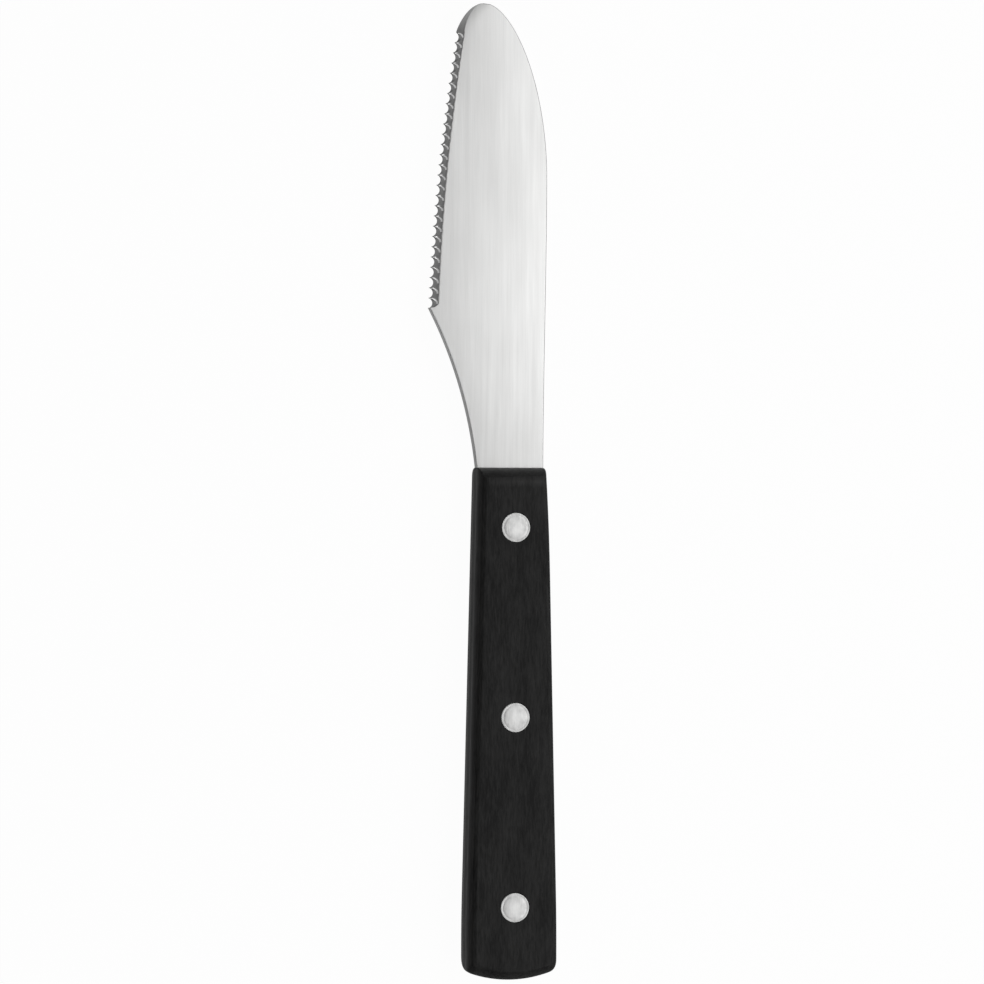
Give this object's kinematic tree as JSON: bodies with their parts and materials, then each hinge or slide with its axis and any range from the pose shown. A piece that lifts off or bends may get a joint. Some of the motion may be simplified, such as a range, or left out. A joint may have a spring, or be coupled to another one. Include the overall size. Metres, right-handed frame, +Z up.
{
  "type": "butter knife",
  "caption": "Flat spreading knife with a broad round-ended blade, a scalloped serrated edge and a full tang held between two riveted black wooden scales.",
  "frame": {"origin": "on the surface the knife lies on, under the middle of its whole box", "axes": "+Z up through the handle's thickness, +Y along the knife towards the tip, +X towards the spine"},
  "size_m": [0.0266, 0.1998, 0.0111],
  "materials": {
    "blade_steel": "satin stainless steel, brushed along the blade",
    "scale_wood": "black-stained close-grained wood, satin",
    "rivet_metal": "aluminium, ground flush and lightly brushed"
  },
  "bodies": {
    "root": {"blade": "blade_steel", "upper_scale": "scale_wood", "lower_scale": "scale_wood", "front_rivet_pin": "rivet_metal", "middle_rivet_pin": "rivet_metal", "rear_rivet_pin": "rivet_metal", "front_rivet_sleeve": "rivet_metal", "middle_rivet_sleeve": "rivet_metal", "rear_rivet_sleeve": "rivet_metal"}
  },
  "joints": []
}
